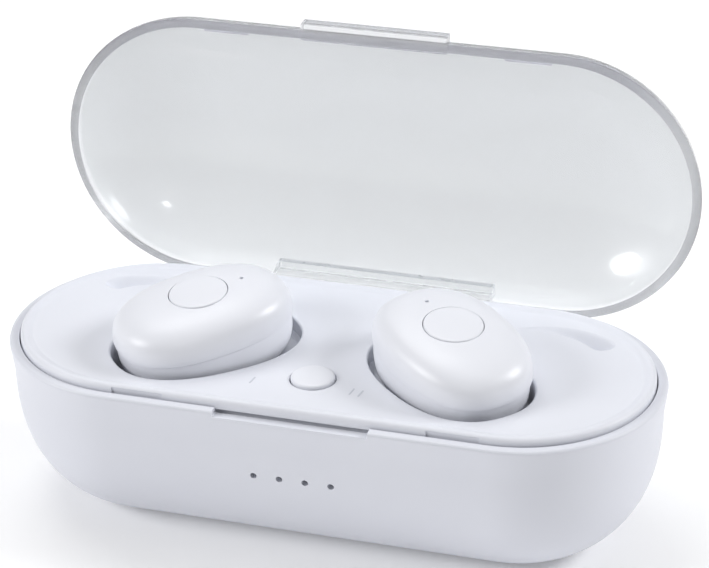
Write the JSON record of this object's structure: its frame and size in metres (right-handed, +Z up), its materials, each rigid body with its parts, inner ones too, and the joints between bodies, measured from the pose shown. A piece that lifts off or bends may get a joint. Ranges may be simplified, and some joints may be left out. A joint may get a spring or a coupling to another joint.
{
  "type": "wireless earbuds charging case",
  "caption": "Pill-shaped white charging case with a hinged clear lid, a tray with seated in-ear earbuds, a push button and indicator lights.",
  "frame": {"origin": "centre of the flat bottom face of the case", "axes": "+X along the length of the case, to its right seen from the front; +Y to the rear, where the hinge is; +Z up"},
  "size_m": [0.08, 0.0459, 0.0542],
  "materials": {
    "case_white": "smooth gloss white ABS with a cool tint",
    "tray_white": "satin-gloss white ABS",
    "clear_lid": "clear, slightly smoky polycarbonate, polished",
    "button_white": "gloss white ABS",
    "earbud_white": "gloss white ABS",
    "silicone": "soft matte white silicone",
    "steel": "bright nickel-plated steel",
    "gold": "gold-plated contact",
    "board": "solder-masked glass-fibre board",
    "battery_foil": "satin pouch-cell foil",
    "foam": "black foam tape",
    "wire_red": "insulated wire",
    "wire_black": "insulated wire",
    "led_lens": "unlit tinted LED",
    "magnet": "nickel-plated magnet",
    "dark_part": "black moulded part"
  },
  "bodies": {
    "base": {"base_shell": "case_white", "tray": "tray_white", "hinge_pin": "steel", "case_pcb": "board", "case_battery": "battery_foil", "battery_tape": "foam", "battery_lead_red": "wire_red", "battery_lead_black": "wire_black", "usb_port": "steel", "case_switch": "dark_part", "led_1": "led_lens", "led_2": "led_lens", "led_3": "led_lens", "led_4": "led_lens", "pcb_screw_left_rear": "steel", "pcb_screw_left_front": "steel", "pcb_screw_right_rear": "steel", "pcb_screw_right_front": "steel", "pogo_barrel_left_a": "gold", "pogo_barrel_left_b": "gold", "pogo_barrel_right_a": "gold", "pogo_barrel_right_b": "gold", "pocket_magnet_left": "magnet", "pocket_magnet_right": "magnet"},
    "lid": {"lid_shell": "clear_lid"},
    "case_button": {"case_button": "button_white"},
    "pogo_left_a": {"pogo_plunger_left_a": "gold"},
    "pogo_left_b": {"pogo_plunger_left_b": "gold"},
    "earbud_left": {"earbud_left_outer_shell": "earbud_white", "earbud_left_inner_shell": "earbud_white", "earbud_left_ear_tip": "silicone", "earbud_left_nozzle_mesh": "steel", "earbud_left_pcb": "board", "earbud_left_switch": "dark_part", "earbud_left_battery": "steel", "earbud_left_driver": "dark_part", "earbud_left_magnet": "magnet", "earbud_left_contact_a": "gold", "earbud_left_contact_b": "gold"},
    "earbud_left_button": {"earbud_left_button": "button_white"},
    "pogo_right_a": {"pogo_plunger_right_a": "gold"},
    "pogo_right_b": {"pogo_plunger_right_b": "gold"},
    "earbud_right": {"earbud_right_outer_shell": "earbud_white", "earbud_right_inner_shell": "earbud_white", "earbud_right_ear_tip": "silicone", "earbud_right_nozzle_mesh": "steel", "earbud_right_pcb": "board", "earbud_right_switch": "dark_part", "earbud_right_battery": "steel", "earbud_right_driver": "dark_part", "earbud_right_magnet": "magnet", "earbud_right_contact_a": "gold", "earbud_right_contact_b": "gold"},
    "earbud_right_button": {"earbud_right_button": "button_white"}
  },
  "joints": [
    {"name": "lid_hinge", "type": "hinge", "parent": "base", "child": "lid", "pos_m": [0, 0.017, 0.0188], "axis": [1, 0, 0], "range_deg": [0, 90]},
    {"name": "case_button_press", "type": "slide", "parent": "base", "child": "case_button", "axis": [0, 0, -1], "range_m": [0, 0.0004], "stiffness_N_per_m": 400},
    {"name": "pogo_left_a_press", "type": "slide", "parent": "base", "child": "pogo_left_a", "axis": [0, 0, -1], "range_m": [0, 0.0006], "stiffness_N_per_m": 150},
    {"name": "pogo_left_b_press", "type": "slide", "parent": "base", "child": "pogo_left_b", "axis": [0, 0, -1], "range_m": [0, 0.0006], "stiffness_N_per_m": 150},
    {"name": "pogo_right_a_press", "type": "slide", "parent": "base", "child": "pogo_right_a", "axis": [0, 0, -1], "range_m": [0, 0.0006], "stiffness_N_per_m": 150},
    {"name": "pogo_right_b_press", "type": "slide", "parent": "base", "child": "pogo_right_b", "axis": [0, 0, -1], "range_m": [0, 0.0006], "stiffness_N_per_m": 150},
    {"name": "earbud_left_lift", "type": "slide", "parent": "base", "child": "earbud_left", "axis": [-0.0744, -0.0992, 0.9923], "range_m": [0, 0.03]},
    {"name": "earbud_left_button_press", "type": "slide", "parent": "earbud_left", "child": "earbud_left_button", "axis": [0.0744, 0.0992, -0.9923], "range_m": [0, 0.0002], "stiffness_N_per_m": 400},
    {"name": "earbud_right_lift", "type": "slide", "parent": "base", "child": "earbud_right", "axis": [0.0744, -0.0992, 0.9923], "range_m": [0, 0.03]},
    {"name": "earbud_right_button_press", "type": "slide", "parent": "earbud_right", "child": "earbud_right_button", "axis": [-0.0744, 0.0992, -0.9923], "range_m": [0, 0.0002], "stiffness_N_per_m": 400}
  ]
}
